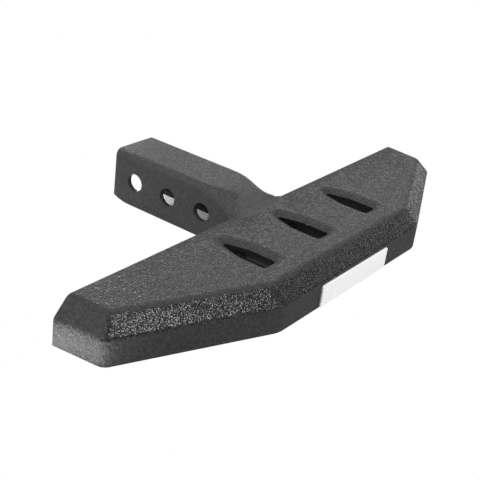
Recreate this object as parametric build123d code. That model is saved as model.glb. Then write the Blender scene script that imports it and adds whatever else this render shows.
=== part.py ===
"""Hitch receiver step: a pressed steel tread welded to a two inch receiver tube.

Millimetres. X runs along the step, +Y along the tube towards the vehicle, +Z is up.
The origin is on the tube's axis, at the middle one of its three cross-pin holes.
"""
from build123d import *
import math
import os

# Receiver tube
TUBE_SIDE = 50.8
TUBE_WALL = 4.8
TUBE_CORNER = 6.0
PIN_BORE = 16.7
PIN_COUNT = 3
PIN_PITCH = 38.1
PIN_FROM_END = 23.5
TUBE_REACH = 141.0
LEAD_IN_LENGTH = 16.0
LEAD_IN_HEIGHT = 6.5

# Drop of the tube's top wall down to the tread, a hood with swelling shoulders
TUBE_RISE = 11.0
DROP_LENGTH = 44.0
DROP_STATIONS = 10
DROP_SPACING = 1.5
DROP_EASE = 0.35
SHOULDER_SWELL = 10.0

# Tread, measured on the flat top
SHEET = 3.0
REAR_HALF = 222.5
END_DEPTH = 34.6
END_TAPER = 4.0
CENTRE_HALF = 101.3
TREAD_DEPTH = 86.0

# Bevel and flange round the tread's ends, wings and front
BEVEL_OUT = 13.0
BEVEL_DROP = 14.0
FLANGE_HEIGHT = 21.5
TREAD_BEND = 8.0
FOLD_BEND = 5.0
REAR_BEND = 1.0
END_CORNER_TOP = 5.0
END_CORNER_FLANGE = 8.5
CENTRE_CORNER = 25.0

# Dimpled slots
SLOT_COUNT = 3
SLOT_PITCH = 75.0
SLOT_SETBACK = 21.0
SLOT_LENGTH = 44.5
SLOT_TAPER_LENGTH = 20.0
SLOT_HALF = 7.7
SLOT_TIP_HALF = 2.0
SLOT_TIP_CORNER = 1.5
SLOT_SHOULDER = 12.0
SLOT_FRONT_CORNER = 2.5
DIMPLE_WIDTH = 7.5
DIMPLE_DEPTH = 3.5
DIMPLE_BEND = 8.0

# Tube under the tread, its weld and the nameplate
TUBE_FRONT_GAP = 1.0
WELD_LEG = 4.5
WELD_RUN = 12.0
WELD_FALL = 6.0
WELD_DISH = 0.35
WELD_GROOVE = 2.0
WELD_HOLLOW = 0.3
PLATE_LENGTH = 100.0
PLATE_HEIGHT = 18.6
PLATE_THICKNESS = 1.5
PLATE_CORNER = 1.5
PLATE_EDGE = 0.5
PLATE_UP = 0.5

# Places worked out from the sizes above
HALF = TUBE_SIDE / 2
INSIDE_CUT = 2 - math.sqrt(2)
TUBE_END = PIN_FROM_END + PIN_PITCH * (PIN_COUNT - 1) / 2
REAR = TUBE_END - TUBE_REACH
TOP = HALF - TUBE_RISE
UNDERSIDE = TOP - SHEET
FOLD = TOP - BEVEL_DROP
SKIRT = FOLD - FLANGE_HEIGHT
FRONT = REAR - TREAD_DEPTH - BEVEL_OUT
TUBE_FRONT = REAR - TREAD_DEPTH + TREAD_BEND + TUBE_FRONT_GAP
BEYOND = 2 * TREAD_DEPTH
NEAR = 0.01


def region(low, high):
    """Box between two corners."""
    size = [b - a for a, b in zip(low, high)]
    middle = [(a + b) / 2 for a, b in zip(low, high)]
    return Pos(*middle) * Box(*size)


def tread_outline(height, spread, end_corner):
    """Plan of the tread at one height, spread outwards, its ends carried on past the rear edge."""
    slope = END_TAPER / END_DEPTH
    right = [
        (REAR_HALF + slope * BEYOND, REAR + BEYOND),
        (REAR_HALF - END_TAPER, REAR - END_DEPTH),
        (CENTRE_HALF, REAR - TREAD_DEPTH),
    ]
    left = [(-x, y) for x, y in reversed(right)]
    outline = offset(make_face(Polyline(*right, *left, close=True)), spread, kind=Kind.INTERSECTION)
    corners = outline.vertices().filter_by(lambda v: v.Y < REAR).sort_by(lambda v: abs(v.X))
    outline = fillet(corners[:2], CENTRE_CORNER)
    corners = outline.vertices().filter_by(lambda v: v.Y < REAR).sort_by(lambda v: abs(v.X))
    outline = fillet(corners[-2:], end_corner)
    return Pos(0, 0, height) * outline


def tread_block():
    """Outside of the pressing as a filled block: flanges, bevel and flat top with soft bends."""
    flange = tread_outline(FOLD, BEVEL_OUT, END_CORNER_FLANGE)
    top = tread_outline(TOP, 0, END_CORNER_TOP)
    block = extrude(flange, -FLANGE_HEIGHT) + loft([flange.face(), top.face()], ruled=True)
    for height, bend in ((TOP, TREAD_BEND), (FOLD, FOLD_BEND)):
        ring = block.edges().filter_by_position(Axis.Z, height - NEAR, height + NEAR)
        block = fillet(ring.filter_by(lambda e: e.center().Y < REAR + BEYOND - NEAR), bend)
    side = REAR_HALF + BEYOND
    block &= region((-side, FRONT - SHEET, SKIRT - SHEET), (side, REAR, TOP + SHEET))
    rear = block.faces().sort_by(Axis.Y)[-1].edges().filter_by(lambda e: e.center().Z > SKIRT + NEAR)
    return fillet(rear, REAR_BEND)


def slot_outline(grow):
    """Bullet-shaped slot seen from above, narrow tip to the rear, grown evenly outwards."""
    right = [
        (SLOT_TIP_HALF, 0),
        (SLOT_HALF, -SLOT_TAPER_LENGTH),
        (SLOT_HALF, -SLOT_LENGTH),
    ]
    left = [(-x, y) for x, y in reversed(right)]
    outline = make_face(Polyline(*right, *left, close=True))
    for (_, y), radius in zip(right, (SLOT_TIP_CORNER, SLOT_SHOULDER, SLOT_FRONT_CORNER)):
        outline = fillet(outline.vertices().filter_by(lambda v: abs(v.Y - y) < NEAR), radius)
    return offset(outline, grow) if grow else outline


def weld_groove():
    """Shallow groove cut from the tread's rear edge, where the foot of the tube's hood meets it."""
    section = Polyline((REAR - WELD_GROOVE, TOP), (REAR, TOP - WELD_GROOVE), (REAR, TOP), close=True)
    return extrude(Plane.YZ * make_face(section), amount=HALF, both=True)


def step_shell():
    """The pressed sheet: a tread with skirts all round, open below, notched for the tube, slots dimpled."""
    block = tread_block()
    shell = offset(block, -SHEET, openings=[block.faces().sort_by(Axis.Z)[0]])
    shell -= region((-HALF, REAR - 2 * SHEET, SKIRT - SHEET), (HALF, REAR + SHEET, UNDERSIDE))
    hole = slot_outline(0)
    rim = slot_outline(DIMPLE_WIDTH)
    dish = loft([(Pos(0, 0, -DIMPLE_DEPTH) * hole).face(), rim.face()], ruled=True)
    through = extrude(Pos(0, 0, -DIMPLE_DEPTH - 2 * SHEET) * hole, DIMPLE_DEPTH + 2 * SHEET)
    for index in range(SLOT_COUNT):
        across = (index - (SLOT_COUNT - 1) / 2) * SLOT_PITCH
        place = Pos(across, REAR - SLOT_SETBACK, TOP)
        shell += place * Pos(0, 0, -SHEET) * dish
        shell -= place * dish
        shell -= place * through
    ring = shell.edges().filter_by_position(Axis.Z, TOP - NEAR, TOP + NEAR)
    front = REAR - SLOT_SETBACK - SLOT_LENGTH - DIMPLE_WIDTH
    rear = REAR - SLOT_SETBACK + DIMPLE_WIDTH
    shell = fillet(ring.filter_by_position(Axis.Y, front - NEAR, rear + NEAR), DIMPLE_BEND)
    return shell - weld_groove()


def tube_section(y, top, inset, top_corner):
    """Section across the tube at one station: rounded outside, its upper corners cut straight inside."""
    height = top + HALF - 2 * inset
    plane = Plane(origin=(0, y, (top - HALF) / 2), x_dir=(1, 0, 0), z_dir=(0, -1, 0))
    section = plane * Rectangle(TUBE_SIDE - 2 * inset, height)
    if inset:
        return chamfer(section.vertices().group_by(Axis.Z)[-1], INSIDE_CUT * (top_corner - inset))
    section = fillet(section.vertices().group_by(Axis.Z)[0], TUBE_CORNER)
    return fillet(section.vertices().group_by(Axis.Z)[-1], top_corner)


def tube_run(inset):
    """Straight tube whose top wall comes down to the tread, gently at first and steeply at its foot."""
    stations = []
    for index in range(DROP_STATIONS + 1):
        along = (index / DROP_STATIONS) ** DROP_SPACING
        rise = TUBE_RISE * math.sin(math.pi / 2 * along ** DROP_EASE) ** 2
        corner = TUBE_CORNER + SHOULDER_SWELL * math.sin(math.pi * (1 - along) ** 2)
        stations.append(tube_section(REAR + DROP_LENGTH * along, TOP + rise, inset, corner).face())
    straight = extrude(stations[-1], amount=TUBE_REACH - DROP_LENGTH, dir=(0, 1, 0))
    return loft(stations, ruled=True) + straight


def receiver_tube():
    """Square tube: open end with a lead-in, pin holes, and a notched front that carries the tread."""
    tube = tube_run(0) - tube_run(TUBE_WALL)
    outer = tube_section(REAR, TOP, 0, TUBE_CORNER)
    inner = tube_section(REAR, TOP, TUBE_WALL, TUBE_CORNER)
    channel = extrude(outer - inner, amount=REAR - TUBE_FRONT, dir=(0, -1, 0))
    channel -= region((-HALF, TUBE_FRONT, UNDERSIDE), (HALF, REAR, TOP + SHEET))
    channel -= region((-HALF + TUBE_WALL, TUBE_FRONT, 0), (HALF - TUBE_WALL, REAR, TOP + SHEET))
    tube += channel
    lead_in = Polyline(
        (TUBE_END, -HALF), (TUBE_END - LEAD_IN_LENGTH, -HALF), (TUBE_END, LEAD_IN_HEIGHT - HALF), close=True
    )
    tube -= extrude(Plane.YZ * make_face(lead_in), amount=TUBE_SIDE, both=True)
    for index in range(PIN_COUNT):
        y = (index - (PIN_COUNT - 1) / 2) * PIN_PITCH
        tube -= Pos(0, y, 0) * Rot(0, 90, 0) * Cylinder(PIN_BORE / 2, 2 * TUBE_SIDE)
    return tube


def tube_weld(shell, tube):
    """Weld round the tube where it enters the tread: a hollow bead up each side and a filled groove on top."""
    crown = TOP - WELD_HOLLOW
    groove = weld_groove() & region((-HALF, REAR - SHEET, UNDERSIDE), (HALF, REAR, crown))
    outer = (HALF + WELD_LEG, REAR)
    hollow = (HALF + WELD_DISH * WELD_LEG, REAR + WELD_DISH * WELD_RUN)
    far = (HALF, REAR + WELD_RUN)
    inside = Polyline(far, (HALF - WELD_LEG, REAR + WELD_RUN), (HALF - WELD_LEG, REAR), outer)
    plan = make_face([ThreePointArc(outer, hollow, far), inside])
    bead = extrude(Pos(0, 0, SKIRT) * plan, crown - SKIRT)
    fall = Polyline((REAR, crown), (REAR + WELD_RUN, crown), (REAR + WELD_RUN, crown - WELD_FALL), close=True)
    bead -= extrude(Plane.YZ * make_face(fall), amount=TUBE_SIDE)
    return groove + bead + mirror(bead, about=Plane.YZ) - shell - tube


def nameplate():
    """Plain plate on the front flange, its outer edge softened."""
    middle = SKIRT + PLATE_UP + PLATE_HEIGHT / 2
    face = Plane(origin=(0, FRONT, middle), x_dir=(1, 0, 0), z_dir=(0, -1, 0))
    plate = extrude(face * RectangleRounded(PLATE_LENGTH, PLATE_HEIGHT, PLATE_CORNER), PLATE_THICKNESS)
    return chamfer(plate.faces().sort_by(Axis.Y)[0].edges(), PLATE_EDGE)


os.makedirs("parts", exist_ok=True)
shell = step_shell()
tube = receiver_tube()
export_step(shell, "parts/step_shell.step")
export_step(tube, "parts/receiver_tube.step")
export_step(tube_weld(shell, tube), "parts/tube_weld.step")
export_step(nameplate(), "parts/nameplate.step")
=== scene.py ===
# %% [markdown]
# # Hitch receiver step
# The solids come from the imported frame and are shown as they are. This script gives them their
# coats, scatters the grain of the textured coat over tread and tube, lays a skin of coat over the
# seam between the two, and sets up a white studio with the camera where the photograph was taken.
# Lengths are metres, in the frame of the part: X along the step, +Y along the tube towards the
# vehicle, +Z up.

# %% Load the frame
import math

import bmesh
import bpy
from mathutils import Matrix, Vector


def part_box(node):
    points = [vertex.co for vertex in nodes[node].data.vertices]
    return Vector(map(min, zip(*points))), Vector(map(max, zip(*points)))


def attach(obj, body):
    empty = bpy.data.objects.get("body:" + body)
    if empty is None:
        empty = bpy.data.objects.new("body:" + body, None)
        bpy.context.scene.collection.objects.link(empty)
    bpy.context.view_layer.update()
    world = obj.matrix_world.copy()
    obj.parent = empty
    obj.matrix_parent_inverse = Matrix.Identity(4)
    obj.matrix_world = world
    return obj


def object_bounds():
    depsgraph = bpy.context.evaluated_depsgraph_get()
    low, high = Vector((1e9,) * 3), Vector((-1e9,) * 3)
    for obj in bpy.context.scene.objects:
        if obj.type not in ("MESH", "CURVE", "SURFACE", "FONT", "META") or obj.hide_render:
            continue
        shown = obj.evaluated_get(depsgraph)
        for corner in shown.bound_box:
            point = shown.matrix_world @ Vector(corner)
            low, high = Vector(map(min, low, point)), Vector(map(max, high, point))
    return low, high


MM = 0.001
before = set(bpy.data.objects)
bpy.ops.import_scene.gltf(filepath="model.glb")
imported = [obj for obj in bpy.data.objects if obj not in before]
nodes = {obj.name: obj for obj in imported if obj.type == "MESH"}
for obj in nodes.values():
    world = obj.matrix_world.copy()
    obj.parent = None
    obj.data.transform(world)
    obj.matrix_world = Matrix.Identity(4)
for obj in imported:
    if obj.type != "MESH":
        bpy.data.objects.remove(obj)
cad_low, cad_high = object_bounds()
shell_low, shell_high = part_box("step_shell")
tube_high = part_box("receiver_tube")[1]
REAR = shell_high.y
TOP = shell_high.z
print("loaded", sorted(nodes), "box in mm", [round(v / MM, 1) for v in cad_high - cad_low])

# %% [markdown]
# ## Small helpers for node trees
# A node is made with its settings in one call. Sockets are taken by name, or by number where a node
# has only one or several share a name. A Mix node's numbers are named here.

# %% Node helpers
COLOUR_A, COLOUR_B, COLOUR_OUT = 6, 7, 2
FACTOR, LEVEL_A, LEVEL_B, LEVEL_OUT = 0, 2, 3, 0


def add(tree, kind, inputs=None, **settings):
    """New node of a kind, with its properties and unlinked inputs set."""
    node = tree.nodes.new(kind)
    for name, value in settings.items():
        setattr(node, name, value)
    for name, value in (inputs or {}).items():
        node.inputs[name].default_value = value
    return node


def new_material(name):
    """Empty node material and its output node."""
    material = bpy.data.materials.new(name)
    material.use_nodes = True
    material.node_tree.nodes.clear()
    return material, add(material.node_tree, "ShaderNodeOutputMaterial")


def grey(value):
    """Grey colour of one value."""
    return (value, value, value, 1)


def ramp(tree, source, marks):
    """Grey colour ramp through (place, value) marks, fed by a socket."""
    node = add(tree, "ShaderNodeValToRGB")
    elements = node.color_ramp.elements
    while len(elements) < len(marks):
        elements.new(0.5)
    for element, (place, value) in zip(elements, marks):
        element.position = place
        element.color = grey(value)
    tree.links.new(source, node.inputs["Fac"])
    return node.outputs["Color"]


print("helpers for materials and trees")

# %% [markdown]
# ## The black coat
# One coat covers tread, tube and weld: near black, with a satin sheen. Sprayed powder runs together
# into soft pebbles, so its relief is a noise about as wide as those pebbles. Three strengths scale
# the relief on level, sloped and upright faces, as the photograph shows it. The colour follows the
# same noise: painted light on the crests and painted shade in the hollows between them. The grains
# get coats of their own, made the same way; so does the foot of the hood, whose coat is a paler
# copy of the tube's, painted light for its slope that turns away from the lamps.

# %% Black coat
PEBBLE = 2.2 * MM
CLOUD_SIZE = 14 * MM
RELIEF = 1.0 * MM
SHEEN_SPREAD = 0.05
CREST_BAND = ((0.35, 0.0), (0.65, 1.0))
UPRIGHT_TO = 0.25
SLOPED_FROM, SLOPED_TO = 0.5, 0.85
LEVEL_FROM = 0.97


def black_coat(name, shaded_hollow, lit_crest, level, sloped, upright, rough, gloss):
    """Textured black powder coat, with its relief scaled by how a face lies."""
    material, output = new_material(name)
    tree = material.node_tree
    link = tree.links.new
    pebble_look = {"Scale": 1 / PEBBLE, "Detail": 2.0, "Roughness": 0.6}
    rough_range = {"To Min": rough - SHEEN_SPREAD, "To Max": rough + SHEEN_SPREAD}
    place = add(tree, "ShaderNodeTexCoord")
    pebbles = add(tree, "ShaderNodeTexNoise", pebble_look)
    cloud = add(tree, "ShaderNodeTexNoise", {"Scale": 1 / CLOUD_SIZE, "Detail": 3.0})
    # Painted light and shade of the relief: the crests paler, the hollows darker.
    tone = add(tree, "ShaderNodeMix", data_type="RGBA")
    tone.inputs[COLOUR_A].default_value = grey(shaded_hollow)
    tone.inputs[COLOUR_B].default_value = grey(lit_crest)
    sheen = add(tree, "ShaderNodeMapRange", rough_range)
    geometry = add(tree, "ShaderNodeNewGeometry")
    split = add(tree, "ShaderNodeSeparateXYZ")
    bump = add(tree, "ShaderNodeBump", {"Distance": RELIEF})
    shader = add(tree, "ShaderNodeBsdfPrincipled", {"IOR": 1.5, "Specular IOR Level": gloss})
    for texture in (pebbles, cloud):
        link(place.outputs["Object"], texture.inputs["Vector"])
    link(ramp(tree, pebbles.outputs["Fac"], CREST_BAND), tone.inputs["Factor"])
    link(tone.outputs[COLOUR_OUT], shader.inputs["Base Color"])
    link(cloud.outputs["Fac"], sheen.inputs["Value"])
    link(sheen.outputs["Result"], shader.inputs["Roughness"])
    link(geometry.outputs["Normal"], split.inputs["Vector"])
    strengths = (
        (0.0, upright), (UPRIGHT_TO, upright),
        (SLOPED_FROM, sloped), (SLOPED_TO, sloped),
        (LEVEL_FROM, level),
    )
    link(ramp(tree, split.outputs["Z"], strengths), bump.inputs["Strength"])
    link(pebbles.outputs["Fac"], bump.inputs["Height"])
    link(bump.outputs["Normal"], shader.inputs["Normal"])
    link(shader.outputs["BSDF"], output.inputs["Surface"])
    return material


# In each coat, shaded_hollow and lit_crest are the painted shade and painted light of its relief.
tread_coat = black_coat(
    "tread_coat", shaded_hollow=0.045, lit_crest=0.080,
    level=0.7, sloped=0.7, upright=1.2, rough=0.55, gloss=0.2,
)
tube_coat = black_coat(
    "tube_coat", shaded_hollow=0.070, lit_crest=0.103,
    level=0.5, sloped=0.5, upright=0.4, rough=0.52, gloss=0.2,
)
glint_coat = black_coat(
    "glint_coat", shaded_hollow=0.012, lit_crest=0.028,
    level=0.3, sloped=0.3, upright=0.3, rough=0.16, gloss=0.55,
)
fleck_coat = black_coat(
    "fleck_coat", shaded_hollow=0.036, lit_crest=0.070,
    level=0.3, sloped=0.3, upright=0.3, rough=0.32, gloss=0.37,
)
# A paler copy of the tube's coat: painted light on the foot of the hood, whose slope turns from the
# lamps.
lit_foot_coat = black_coat(
    "lit_foot_coat", shaded_hollow=0.088, lit_crest=0.128,
    level=0.5, sloped=0.5, upright=0.4, rough=0.52, gloss=0.2,
)
print("coats", [coat.name for coat in (tread_coat, tube_coat, glint_coat, fleck_coat, lit_foot_coat)])

# %% [markdown]
# ## Inside of the tube
# Through the pin holes the inside of the tube looks near black, with a pale strip along the middle
# of its floor. Both are painted: shade on its walls, ceiling and floor, and the light from the open
# end on the middle of the floor. A mask of the place on the piece lays each over the coat's colour.

# %% Painted shade and light inside the tube
WALL_HALF = 21.2 * MM
WALL_RUN = (-33 * MM, 70 * MM)
WALL_HEIGHTS = (-21.6 * MM, 21.0 * MM)
# Painted shade over the inside of the tube.
PAINTED_BORE_SHADE = grey(0.012)
BORE_HALF = 13 * MM
BORE_FLOOR = (-21.6 * MM, -19.6 * MM)
# Painted light from the open end on the middle of the tube's floor.
PAINTED_BORE_LIGHT = grey(0.62)
BORE_EDGE = 0.2 * MM


def product(tree, first, second):
    """Two values multiplied."""
    node = add(tree, "ShaderNodeMath", operation="MULTIPLY")
    tree.links.new(first, node.inputs[0])
    tree.links.new(second, node.inputs[1])
    return node.outputs[0]


def within(tree, source, low, high, soft):
    """One between two limits and nought outside them, with a soft edge."""
    rise = add(tree, "ShaderNodeMapRange", {"From Min": low - soft, "From Max": low + soft})
    fall = add(tree, "ShaderNodeMapRange", {"From Min": high + soft, "From Max": high - soft})
    for limit in (rise, fall):
        tree.links.new(source, limit.inputs["Value"])
    return product(tree, rise.outputs["Result"], fall.outputs["Result"])


def lay_over(material, colour, soft, **limits):
    """Another colour over the coat's own, within limits of place along the named axes."""
    tree = material.node_tree
    shader = next(node for node in tree.nodes if node.type == "BSDF_PRINCIPLED")
    painted = shader.inputs["Base Color"].links[0].from_socket
    place = add(tree, "ShaderNodeTexCoord")
    split = add(tree, "ShaderNodeSeparateXYZ")
    mix = add(tree, "ShaderNodeMix", data_type="RGBA")
    mix.inputs[COLOUR_B].default_value = colour
    tree.links.new(place.outputs["Object"], split.inputs["Vector"])
    share = None
    for axis, (low, high) in limits.items():
        inside = within(tree, split.outputs[axis], low, high, soft)
        share = product(tree, share, inside) if share else inside
    tree.links.new(share, mix.inputs["Factor"])
    tree.links.new(painted, mix.inputs[COLOUR_A])
    tree.links.new(mix.outputs[COLOUR_OUT], shader.inputs["Base Color"])


# Painted shade inside the tube, then painted light on the middle of its floor.
lay_over(
    tube_coat, PAINTED_BORE_SHADE, BORE_EDGE, X=(-WALL_HALF, WALL_HALF), Y=WALL_RUN, Z=WALL_HEIGHTS
)
lay_over(tube_coat, PAINTED_BORE_LIGHT, BORE_EDGE, X=(-BORE_HALF, BORE_HALF), Z=BORE_FLOOR)
print("painted shade and light inside", tube_coat.name)

# %% [markdown]
# ## Cut walls of the slots
# The slots are punched through the sheet after the dimples are pressed. Their walls face away from
# the light and lie in shade. The same mask of the place, below the dimples' floors, paints that
# shade on them as a darker colour.

# %% Cut walls of the slots
SLOTS_HALF = 95 * MM
SLOTS_FRONT = REAR - 80 * MM
SLOTS_BACK = REAR - 10 * MM
CUT_HEIGHTS = (TOP - 40 * MM, TOP - 3.4 * MM)
# Painted shade on the slots' cut walls.
PAINTED_SLOT_SHADE = grey(0.011)
CUT_EDGE = 0.1 * MM

# Painted shade below the dimples' floors, over the slots' walls.
lay_over(
    tread_coat, PAINTED_SLOT_SHADE, CUT_EDGE,
    X=(-SLOTS_HALF, SLOTS_HALF), Y=(SLOTS_FRONT, SLOTS_BACK), Z=CUT_HEIGHTS,
)
print("dark cuts in", tread_coat.name)

# %% [markdown]
# ## The plate
# A thin plate in plain white paint, with the slightest cloudiness so that it isn't a flat colour.

# %% White plate
PLATE_DULL = 0.90
PLATE_BRIGHT = 0.96
PLATE_ROUGH = 0.4


def white_plate():
    """Satin white paint, a touch uneven."""
    material, output = new_material("plate_face")
    tree = material.node_tree
    place = add(tree, "ShaderNodeTexCoord")
    cloud = add(tree, "ShaderNodeTexNoise", {"Scale": 1 / CLOUD_SIZE})
    tone = add(tree, "ShaderNodeMix", data_type="RGBA")
    tone.inputs[COLOUR_A].default_value = grey(PLATE_DULL)
    tone.inputs[COLOUR_B].default_value = grey(PLATE_BRIGHT)
    shader = add(tree, "ShaderNodeBsdfPrincipled", {"Roughness": PLATE_ROUGH})
    tree.links.new(place.outputs["Object"], cloud.inputs["Vector"])
    tree.links.new(cloud.outputs["Fac"], tone.inputs["Factor"])
    tree.links.new(tone.outputs[COLOUR_OUT], shader.inputs["Base Color"])
    tree.links.new(shader.outputs["BSDF"], output.inputs["Surface"])
    return material


coats = {
    "step_shell": tread_coat,
    "receiver_tube": tube_coat,
    "tube_weld": tube_coat,
    "nameplate": white_plate(),
}
for name, material in coats.items():
    nodes[name].data.materials.clear()
    nodes[name].data.materials.append(material)
print("covered", sorted(coats))

# %% [markdown]
# ## Grain of the coat
# On the bevels the coat stands up in coarse grains that catch the light one by one; on top of tread
# and tube the grains are wider and duller. A sprayer gets them from powder that clumps before it
# melts. They are real shapes here: a Geometry Nodes tree scatters flattened, 20-sided grains over a
# copy of a solid's surface, at a least distance from each other, on the faces whose slope, facing
# and place are asked for.

# %% Grain tree
LEAST_GROWN, MOST_GROWN = 0.6, 1.3
MORE_THAN_FIT = 1e7
LIMITS = (
    "Steepest", "Flattest", "Facing",
    "Reach", "Front", "Back", "Lowest", "Bare reach", "Bare front",
)


def grain_tree():
    """Geometry Nodes tree that scatters flat grains over the faces within named limits."""
    tree = bpy.data.node_groups.new("coat_grain", "GeometryNodeTree")
    link = tree.links.new
    sockets = [("Tread", "Geometry")]
    sockets += [(name, "Float") for name in ("Spacing", "Radius", "Height") + LIMITS]
    sockets += [("Least turn", "Vector"), ("Most turn", "Vector"), ("Seed", "Int")]
    sockets += [("Coat", "Material")]
    for name, kind in sockets:
        tree.interface.new_socket(name, in_out="INPUT", socket_type="NodeSocket" + kind)
    tree.interface.new_socket("Grains", in_out="OUTPUT", socket_type="NodeSocketGeometry")
    given = add(tree, "NodeGroupInput").outputs
    made = add(tree, "NodeGroupOutput")

    def compare(value, operation, limit):
        """Whether a value is greater or less than a named input."""
        node = add(tree, "FunctionNodeCompare", operation=operation)
        link(value, node.inputs[0])
        link(given[limit], node.inputs[1])
        return node.outputs[0]

    def join(first, second, operation):
        """Two conditions made one."""
        node = add(tree, "FunctionNodeBooleanMath", operation=operation)
        link(first, node.inputs[0])
        link(second, node.inputs[1])
        return node.outputs[0]

    normal = add(tree, "ShaderNodeSeparateXYZ")
    link(add(tree, "GeometryNodeInputNormal").outputs[0], normal.inputs[0])
    place = add(tree, "ShaderNodeSeparateXYZ")
    link(add(tree, "GeometryNodeInputPosition").outputs[0], place.inputs[0])
    off_middle = add(tree, "ShaderNodeMath", operation="ABSOLUTE")
    link(place.outputs["X"], off_middle.inputs[0])
    beside = compare(off_middle.outputs[0], "GREATER_THAN", "Bare reach")
    ahead = compare(place.outputs["Y"], "LESS_THAN", "Bare front")
    chosen = join(beside, ahead, "OR")
    for value, operation, limit in (
        (normal.outputs["Z"], "GREATER_THAN", "Steepest"),
        (normal.outputs["Z"], "LESS_THAN", "Flattest"),
        (normal.outputs["Y"], "LESS_THAN", "Facing"),
        (off_middle.outputs[0], "LESS_THAN", "Reach"),
        (place.outputs["Y"], "GREATER_THAN", "Front"),
        (place.outputs["Y"], "LESS_THAN", "Back"),
        (place.outputs["Z"], "GREATER_THAN", "Lowest"),
    ):
        chosen = join(chosen, compare(value, operation, limit), "AND")

    points = add(tree, "GeometryNodeDistributePointsOnFaces", distribute_method="POISSON")
    grain = add(tree, "GeometryNodeMeshIcoSphere", {"Radius": 1.0, "Subdivisions": 1})
    shape = add(tree, "ShaderNodeCombineXYZ")
    flatten = add(tree, "GeometryNodeTransform")
    turn = add(tree, "FunctionNodeRandomValue", data_type="FLOAT_VECTOR")
    tilt = add(tree, "FunctionNodeRotateRotation", rotation_space="LOCAL")
    grow = add(tree, "FunctionNodeRandomValue", data_type="FLOAT")
    scatter = add(tree, "GeometryNodeInstanceOnPoints")
    real = add(tree, "GeometryNodeRealizeInstances")
    facets = add(tree, "GeometryNodeSetShadeSmooth", {"Shade Smooth": False})
    coat = add(tree, "GeometryNodeSetMaterial")
    grow.inputs[2].default_value = LEAST_GROWN
    grow.inputs[3].default_value = MOST_GROWN
    points.inputs["Density Max"].default_value = MORE_THAN_FIT
    link(given["Tread"], points.inputs["Mesh"])
    link(chosen, points.inputs["Selection"])
    link(given["Spacing"], points.inputs["Distance Min"])
    for node in (points, turn, grow):
        link(given["Seed"], node.inputs["Seed"])
    for axis, size in (("X", "Radius"), ("Y", "Radius"), ("Z", "Height")):
        link(given[size], shape.inputs[axis])
    link(grain.outputs["Mesh"], flatten.inputs["Geometry"])
    link(shape.outputs[0], flatten.inputs["Scale"])
    link(given["Least turn"], turn.inputs[0])
    link(given["Most turn"], turn.inputs[1])
    link(points.outputs["Rotation"], tilt.inputs[0])
    link(turn.outputs[0], tilt.inputs[1])
    link(points.outputs["Points"], scatter.inputs["Points"])
    link(flatten.outputs[0], scatter.inputs["Instance"])
    link(tilt.outputs[0], scatter.inputs["Rotation"])
    link(grow.outputs[1], scatter.inputs["Scale"])
    link(scatter.outputs[0], real.inputs[0])
    link(real.outputs[0], facets.inputs["Geometry"])
    link(facets.outputs[0], coat.inputs["Geometry"])
    link(given["Coat"], coat.inputs["Material"])
    link(coat.outputs[0], made.inputs["Grains"])
    return tree


GRAIN = grain_tree()
print("grain tree with", len(GRAIN.nodes), "nodes")

# %% [markdown]
# ## Scattering the grains
# Three layers: sharp glints on the bevels that look forward, flecks on top of the tread, and flecks
# on top of the tube. The bevel's layer stays out of the dimpled slots. A limit that a layer doesn't
# need is set out of reach.

# %% Scatter the grains
MERGE = 0.01 * MM
NO_LEAST = -1.0
NO_MOST = 2.0


def scatter_grains(name, carrier, tilt, **sizes):
    """Grains over a merged copy of a node's mesh, made a plain mesh that rides with the part."""
    sizes["Least turn"] = (-tilt, -tilt, -math.pi)
    sizes["Most turn"] = (tilt, tilt, math.pi)
    mesh = bpy.data.meshes.new(name)
    surface = bmesh.new()
    surface.from_mesh(nodes[carrier].data)
    bmesh.ops.remove_doubles(surface, verts=surface.verts, dist=MERGE)
    surface.to_mesh(mesh)
    surface.free()
    piece = bpy.data.objects.new(name, mesh)
    bpy.context.scene.collection.objects.link(piece)
    modifier = piece.modifiers.new("grain", "NODES")
    modifier.node_group = GRAIN
    inputs = [item for item in GRAIN.interface.items_tree if item.in_out == "INPUT"]
    identifiers = {item.name: item.identifier for item in inputs}
    for label, value in sizes.items():
        modifier[identifiers[label]] = value
    result = piece.evaluated_get(bpy.context.evaluated_depsgraph_get())
    grains = bpy.data.meshes.new_from_object(result)
    piece.modifiers.clear()
    piece.data = grains
    bpy.data.meshes.remove(mesh)
    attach(piece, "root")
    print(name, len(grains.polygons), "faces")


DIMPLES = {"Bare reach": SLOTS_HALF, "Bare front": SLOTS_FRONT}
scatter_grains(
    "bevel_grain", "step_shell", 0.12, Seed=3, Coat=glint_coat,
    Spacing=1.2 * MM, Radius=1.0 * MM, Height=0.13 * MM,
    Steepest=0.25, Flattest=0.73, Facing=-0.35,
    Reach=0.2345, Front=NO_LEAST, Back=REAR - 1 * MM, Lowest=NO_LEAST, **DIMPLES,
)
scatter_grains(
    "tread_grain", "step_shell", 0.08, Seed=8, Coat=fleck_coat,
    Spacing=2.1 * MM, Radius=1.25 * MM, Height=0.13 * MM,
    Steepest=0.73, Flattest=NO_MOST, Facing=NO_MOST,
    Reach=0.218, Front=NO_LEAST, Back=REAR - 3 * MM, Lowest=TOP - 2 * MM,
)
scatter_grains(
    "tube_grain", "receiver_tube", 0.06, Seed=5, Coat=fleck_coat,
    Spacing=2.0 * MM, Radius=1.1 * MM, Height=0.1 * MM,
    Steepest=0.8, Flattest=NO_MOST, Facing=NO_MOST,
    Reach=0.022, Front=REAR + 10 * MM, Back=tube_high.y - 2 * MM, Lowest=TOP,
)

# %% [markdown]
# ## Foot of the tube's hood
# On the real step the weld is dressed and the coat runs over it, so the hood flows onto the tread
# with no line between them. This skin does the same: a height map that follows tread and hood, with
# the corner between them rounded, flared over the beads at the sides and closed below. Its edges
# are let into the solids, so that it has no rim. The hood's own height follows the one in the CAD.

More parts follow.
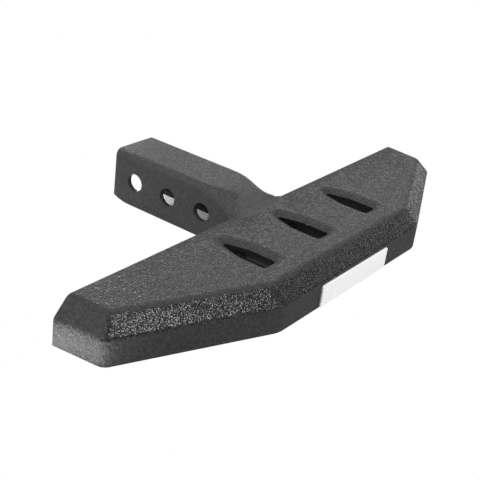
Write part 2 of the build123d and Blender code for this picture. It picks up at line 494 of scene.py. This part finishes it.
# %% Heights of the foot
FOOT_FRONT = -12 * MM
FOOT_BACK = 17 * MM
FOOT_ROUNDING = 9 * MM
FOOT_PROUD = 0.1 * MM
FOOT_LET_IN = 0.2 * MM
FOOT_SINK = 8 * MM
FADE_FRONT = 7 * MM
FADE_BACK = 6 * MM
FADE_SIDE = 10 * MM
FLARE = 6.0 * MM
FLARE_RUN = 15 * MM
HALF_TUBE = tube_high.x
INSET = 0.2 * MM
DROP_LENGTH = 44 * MM
DROP_EASE = 0.35
RISE = tube_high.z - TOP
CORNER = 6 * MM
CORNER_SWELL = 10 * MM


def smooth_step(low, high, value):
    """Eased step from nought to one."""
    share = min(max((value - low) / (high - low), 0.0), 1.0)
    return share * share * (3 - 2 * share)


def hood_height(x, s):
    """Height of the tube's hood at a distance behind the tread's rear edge."""
    along = max(s, 0.0) / DROP_LENGTH
    top = TOP + RISE * math.sin(math.pi / 2 * along ** DROP_EASE) ** 2
    corner = CORNER + CORNER_SWELL * math.sin(math.pi * (1 - along) ** 2)
    over = min(max(abs(x) - HALF_TUBE + corner, 0.0), corner)
    return top - corner + math.sqrt(corner * corner - over * over)


def foot_half(s):
    """Half width of the skin at a distance behind the tread's rear edge."""
    return HALF_TUBE - INSET + FLARE * max(1 - max(s, 0.0) / FLARE_RUN, 0.0) ** 2


def foot_height(x, s):
    """Height of the blended skin: tread and hood with their corner rounded, edges let in."""
    tread = TOP - FOOT_SINK * smooth_step(0.0, FLARE_RUN, s)
    if s > 0:
        hood = hood_height(x, s)
        sharp = max(tread, hood)
    else:
        hood = TOP - FOOT_SINK * smooth_step(0.0, FOOT_ROUNDING, -s)
        sharp = TOP
    near = max(FOOT_ROUNDING - abs(tread - hood), 0.0) / FOOT_ROUNDING
    rounded = max(tread, hood) + near * near * FOOT_ROUNDING / 4 + FOOT_PROUD
    fade = smooth_step(FOOT_FRONT, FOOT_FRONT + FADE_FRONT, s)
    fade *= 1 - smooth_step(FOOT_BACK - FADE_BACK, FOOT_BACK, s)
    fade *= 1 - smooth_step(foot_half(s) - FADE_SIDE, foot_half(s), abs(x))
    return sharp + (rounded - sharp) * fade - FOOT_LET_IN * (1 - fade)


print("foot's height at its middle", round(foot_height(0, 0) / MM, 1), "mm")

# %% Blended foot
FOOT_ROWS = 40
FOOT_COLUMNS = 64
SKIN = 1.5 * MM
TUCKED_HALF = HALF_TUBE - 1 * MM
TUCKED_DROP = 6 * MM


def blended_foot():
    """Closed skin over the foot of the hood."""
    mesh = bmesh.new()
    upper, lower = [], []
    for row in range(FOOT_ROWS + 1):
        s = FOOT_FRONT + (FOOT_BACK - FOOT_FRONT) * row / FOOT_ROWS
        for rows, drop in ((upper, 0.0), (lower, SKIN)):
            line = []
            for column in range(FOOT_COLUMNS + 1):
                x = foot_half(s) * math.sin(math.pi * (column / FOOT_COLUMNS - 0.5))
                height = foot_height(x, s) - drop
                if drop and s > 0 and abs(x) > TUCKED_HALF:
                    x = math.copysign(TUCKED_HALF, x)
                    height -= TUCKED_DROP
                line.append(mesh.verts.new((x, REAR + s, height)))
            rows.append(line)
    for row in range(FOOT_ROWS):
        for column in range(FOOT_COLUMNS):
            for rows in (upper, lower):
                a, b = rows[row], rows[row + 1]
                mesh.faces.new((a[column], a[column + 1], b[column + 1], b[column]))
    edges = [(upper[0], lower[0]), (upper[-1], lower[-1])]
    edges += [([line[i] for line in upper], [line[i] for line in lower]) for i in (0, -1)]
    for high, low in edges:
        for index in range(len(high) - 1):
            mesh.faces.new((high[index], high[index + 1], low[index + 1], low[index]))
    bmesh.ops.recalc_face_normals(mesh, faces=mesh.faces)
    for face in mesh.faces:
        face.smooth = True
    data = bpy.data.meshes.new("blended_foot")
    mesh.to_mesh(data)
    mesh.free()
    # The foot's coat is painted light, paler than the tube's.
    data.materials.append(lit_foot_coat)
    piece = bpy.data.objects.new("blended_foot", data)
    bpy.context.scene.collection.objects.link(piece)
    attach(piece, "root")
    print(piece.name, len(data.polygons), "faces")


blended_foot()

# %% [markdown]
# ## White floor
# The photograph is cut out on white. The floor is white to the camera, pale to the coat's gloss and
# a plain grey paint to the light, so that it doesn't throw more light on the part.

# %% Floor
FLOOR_SIZE = 6.0
FLOOR_DROP = 0.2 * MM
FLOOR_GLEAM = 0.6
FLOOR_PAINT = grey(0.4)
WHITE = grey(1)


def flat_sheet(name, corners, height):
    """Level sheet with the given corners."""
    mesh = bpy.data.meshes.new(name)
    mesh.from_pydata([(x, y, height) for x, y in corners], [], [range(len(corners))])
    sheet = bpy.data.objects.new(name, mesh)
    bpy.context.scene.collection.objects.link(sheet)
    return sheet


def seen_white(tree):
    """Light path of a tree, and a value of one where the camera looks, through glass too."""
    path = add(tree, "ShaderNodeLightPath")
    seen = add(tree, "ShaderNodeMath", operation="MAXIMUM")
    tree.links.new(path.outputs["Is Camera Ray"], seen.inputs[0])
    tree.links.new(path.outputs["Is Transmission Ray"], seen.inputs[1])
    return path, seen.outputs[0]


def white_floor():
    """White to the camera and through glass, pale to glossy rays, and a plain paint to light."""
    material, output = new_material("floor_white")
    tree = material.node_tree
    link = tree.links.new
    paint = add(tree, "ShaderNodeBsdfDiffuse", {"Color": FLOOR_PAINT})
    path, seen = seen_white(tree)
    white = add(tree, "ShaderNodeEmission", {"Color": WHITE, "Strength": 1.0})
    pale = add(tree, "ShaderNodeEmission", {"Color": WHITE, "Strength": FLOOR_GLEAM})
    gloss_mix = add(tree, "ShaderNodeMixShader")
    mix = add(tree, "ShaderNodeMixShader")
    link(path.outputs["Is Glossy Ray"], gloss_mix.inputs["Fac"])
    link(paint.outputs[0], gloss_mix.inputs[1])
    link(pale.outputs[0], gloss_mix.inputs[2])
    link(seen, mix.inputs["Fac"])
    link(gloss_mix.outputs[0], mix.inputs[1])
    link(white.outputs[0], mix.inputs[2])
    link(mix.outputs[0], output.inputs["Surface"])
    return material


square = [(-1, -1), (1, -1), (1, 1), (-1, 1)]
floor_corners = [(x * FLOOR_SIZE, y * FLOOR_SIZE) for x, y in square]
floor = flat_sheet("floor", floor_corners, cad_low.z - FLOOR_DROP)
floor.data.materials.append(white_floor())
print("floor at", round(cad_low.z / MM, 1), "mm")

# %% [markdown]
# ## Shade under the tread
# Under a real step the floor is dark, and the slots look down into that shade. The white floor
# takes no shadow, so a sheet just above it stands for the shade. It reaches as far as the camera
# sees through the slots and fades out behind the tread and at both ends.

# %% Shade
# The corners are in millimetres from the middle of the tread's rear edge.
SHADE_CORNERS = [(-190, -28), (-96, -76), (96, -76), (190, -28), (200, 18), (-145, 18)]
SHADE_DROP = 0.1 * MM
SHADE_GLOW = 0.011
SHADE_MIDDLE = 28 * MM
SHADE_BACK = {"From Min": REAR + 3 * MM, "From Max": REAR + 18 * MM}
SHADE_SIDE = {"From Min": 125 * MM, "From Max": 172 * MM}


def dark_shade():
    """Nearly black, and clear towards the back and the ends."""
    material, output = new_material("floor_shade")
    tree = material.node_tree
    link = tree.links.new
    place = add(tree, "ShaderNodeTexCoord")
    split = add(tree, "ShaderNodeSeparateXYZ")
    back_fade = add(tree, "ShaderNodeMapRange", SHADE_BACK, interpolation_type="SMOOTHSTEP")
    side_fade = add(tree, "ShaderNodeMapRange", SHADE_SIDE, interpolation_type="SMOOTHSTEP")
    from_middle = add(tree, "ShaderNodeMath", operation="SUBTRACT")
    from_middle.inputs[1].default_value = SHADE_MIDDLE
    off_side = add(tree, "ShaderNodeMath", operation="ABSOLUTE")
    faded = add(tree, "ShaderNodeMath", operation="MAXIMUM")
    dark = add(tree, "ShaderNodeEmission", {"Strength": SHADE_GLOW})
    clear = add(tree, "ShaderNodeBsdfTransparent")
    mix = add(tree, "ShaderNodeMixShader")
    link(place.outputs["Object"], split.inputs["Vector"])
    link(split.outputs["Y"], back_fade.inputs["Value"])
    link(split.outputs["X"], from_middle.inputs[0])
    link(from_middle.outputs[0], off_side.inputs[0])
    link(off_side.outputs[0], side_fade.inputs["Value"])
    link(back_fade.outputs["Result"], faded.inputs[0])
    link(side_fade.outputs["Result"], faded.inputs[1])
    link(faded.outputs[0], mix.inputs["Fac"])
    link(dark.outputs[0], mix.inputs[1])
    link(clear.outputs[0], mix.inputs[2])
    link(mix.outputs[0], output.inputs["Surface"])
    return material


shade_corners = [(x * MM, REAR + y * MM) for x, y in SHADE_CORNERS]
shade = flat_sheet("floor_shade", shade_corners, cad_low.z - SHADE_DROP)
shade.data.materials.append(dark_shade())
print("shade with", len(shade_corners), "corners")

# %% [markdown]
# ## White sky
# The sky is white to the camera and lights the part softly from all sides. What the coat's gloss
# mirrors of it is darker towards the front, so that the gaps between the grains stay dark.

# %% Sky
SKY = 0.25
FRONT_GLEAM = 0.07
GLEAM_FALL = {"From Min": -0.5, "From Max": 0.25, "To Min": FRONT_GLEAM, "To Max": 1.0}


def white_sky():
    """World that is white to the camera, soft to light and graded to glossy rays."""
    world = bpy.data.worlds.new("sky")
    world.use_nodes = True
    tree = world.node_tree
    tree.nodes.clear()
    link = tree.links.new
    path, seen = seen_white(tree)
    place = add(tree, "ShaderNodeTexCoord")
    split = add(tree, "ShaderNodeSeparateXYZ")
    gleam = add(tree, "ShaderNodeMapRange", GLEAM_FALL)
    gloss = add(tree, "ShaderNodeMix")
    level = add(tree, "ShaderNodeMix")
    gloss.inputs[LEVEL_A].default_value = SKY
    level.inputs[LEVEL_B].default_value = 1.0
    sky = add(tree, "ShaderNodeBackground", {"Color": WHITE})
    output = add(tree, "ShaderNodeOutputWorld")
    link(place.outputs["Generated"], split.inputs["Vector"])
    link(split.outputs["Y"], gleam.inputs["Value"])
    link(path.outputs["Is Glossy Ray"], gloss.inputs[FACTOR])
    link(gleam.outputs["Result"], gloss.inputs[LEVEL_B])
    link(seen, level.inputs[FACTOR])
    link(gloss.outputs[LEVEL_OUT], level.inputs[LEVEL_A])
    link(level.outputs[LEVEL_OUT], sky.inputs["Strength"])
    link(sky.outputs[0], output.inputs["Surface"])
    return world


bpy.context.scene.world = white_sky()
print("sky", bpy.context.scene.world.name)

# %% [markdown]
# ## Lamps
# A broad lamp hangs overhead and two stand at the left, so that level faces and those that look
# left are lit and the front stays in half shade. Small lamps stand where the grain of each bevel
# mirrors them to the camera and glints. A strip on the floor lifts the left end's skirt, a faint
# one lifts the underside, one lamp shines into the open tube, and one is linked to the plate alone.

# %% Lamp makers
STRIP_LIFT = 0.5 * MM
tread_middle = Vector((0, (REAR + shell_low.y) / 2, TOP))


def lamp(name, place, aim, size, power, length=None):
    """Area lamp at a place, aimed at a point; with a length it is a strip along Y."""
    data = bpy.data.lights.new(name, "AREA")
    data.shape = "RECTANGLE" if length else "SQUARE"
    data.size = size
    if length:
        data.size_y = length
    data.energy = power
    shine = bpy.data.objects.new(name, data)
    shine.location = place
    shine.rotation_mode = "QUATERNION"
    shine.rotation_quaternion = (Vector(aim) - Vector(place)).to_track_quat("-Z", "Y")
    shine.visible_camera = False
    bpy.context.scene.collection.objects.link(shine)
    return shine


def far_lamp(name, direction, distance, size, power):
    """Lamp in a direction from the middle of the tread."""
    place = tread_middle + Vector(direction).normalized() * distance
    lamp(name, place, tread_middle, size, power)


def floor_strip(name, x, y, width, length, power):
    """Strip just above the floor that shines upwards."""
    place = Vector((x, y, cad_low.z + STRIP_LIFT))
    lamp(name, place, place + Vector((0, 0, 1)), width, power, length=length)


print("lamps look at", [round(v / MM) for v in tread_middle], "mm")

# %% Lamps
# Each row: name, direction from the tread's middle, distance and size in metres, power in watts.
FAR_LAMPS = (
    ("overhead", (0.0, -0.2, 1.0), 1.3, 1.0, 1.7),
    ("left_high", (-0.8, 0.15, 0.5), 1.3, 0.6, 2.6),
    ("left_low", (-0.97, 0.3, 0.06), 1.3, 0.4, 2.8),
    ("front_glint", (-0.2, -0.685, 0.7), 1.0, 0.25, 2.7),
    ("fold_glint", (0.1, -0.93, 0.33), 1.0, 0.2, 0.45),
    ("corner_glint", (0.441, -0.697, 0.565), 1.07, 0.14, 0.2),
    ("right_glint", (0.79, -0.5, 0.36), 1.22, 0.13, 0.34),
    ("back_glint", (0.73, 0.4, 0.55), 1.5, 0.6, 0.7),
    ("right_low", (0.99, -0.067, 0.128), 1.4, 0.2, 0.32),
    ("wing_glint", (0.6, 0.61, 0.52), 1.5, 0.25, 0.5),
)
for row in FAR_LAMPS:
    far_lamp(*row)
floor_strip(
    "end_strip", shell_low.x - 14 * MM, REAR - 30 * MM, width=16 * MM, length=90 * MM, power=0.05
)
floor_strip("under_fill", 0, REAR - 40 * MM, width=300 * MM, length=60 * MM, power=0.014)
mouth = Vector((0, tube_high.y, 0))
mouth_place = mouth + Vector((0, 60 * MM, 30 * MM))
mouth_aim = mouth + Vector((0, -50 * MM, -20 * MM))
lamp("tube_mouth", mouth_place, mouth_aim, size=30 * MM, power=0.2)
plate_low, plate_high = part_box("nameplate")
plate_middle = (plate_low + plate_high) / 2
plate_place = plate_middle + Vector((0.1, -1.0, 0.5))
plate_lamp = lamp("plate_lamp", plate_place, plate_middle, size=0.4, power=6)
plate_only = bpy.data.collections.new("plate_only")
plate_only.objects.link(nodes["nameplate"])
plate_lamp.light_linking.receiver_collection = plate_only

# %% [markdown]
# ## Camera
# Its direction, distance, roll and lens were found by fitting the tube's and tread's edges to the
# photograph. The aim is a point near the left slot, given from the middle of the tread's rear edge.

# %% Camera
AZIMUTH = math.radians(-56.276)
ELEVATION = math.radians(26.42)
ROLL = math.radians(7.505)
DISTANCE = 0.81127
AIM = Vector((-44.69 * MM, REAR - 14.94 * MM, TOP - 12.04 * MM))
LENS = 75.40
SENSOR = 36.0

right = Vector((math.cos(AZIMUTH), math.sin(AZIMUTH), 0))
back = Vector((math.sin(AZIMUTH), -math.cos(AZIMUTH), 0)) * math.cos(ELEVATION)
back.z = math.sin(ELEVATION)
up = back.cross(right)
rolled_right = right * math.cos(ROLL) + up * math.sin(ROLL)
rolled_up = up * math.cos(ROLL) - right * math.sin(ROLL)
turned = Matrix((rolled_right, rolled_up, back)).transposed().to_4x4()

camera_data = bpy.data.cameras.new("camera")
camera_data.lens = LENS
camera_data.sensor_width = SENSOR
camera = bpy.data.objects.new("camera", camera_data)
camera.matrix_world = Matrix.Translation(AIM + back * DISTANCE) @ turned
bpy.context.scene.collection.objects.link(camera)
bpy.context.scene.camera = camera
bpy.context.scene.view_settings.view_transform = "Standard"
print("camera", [round(v / MM) for v in camera.matrix_world.translation], "mm")
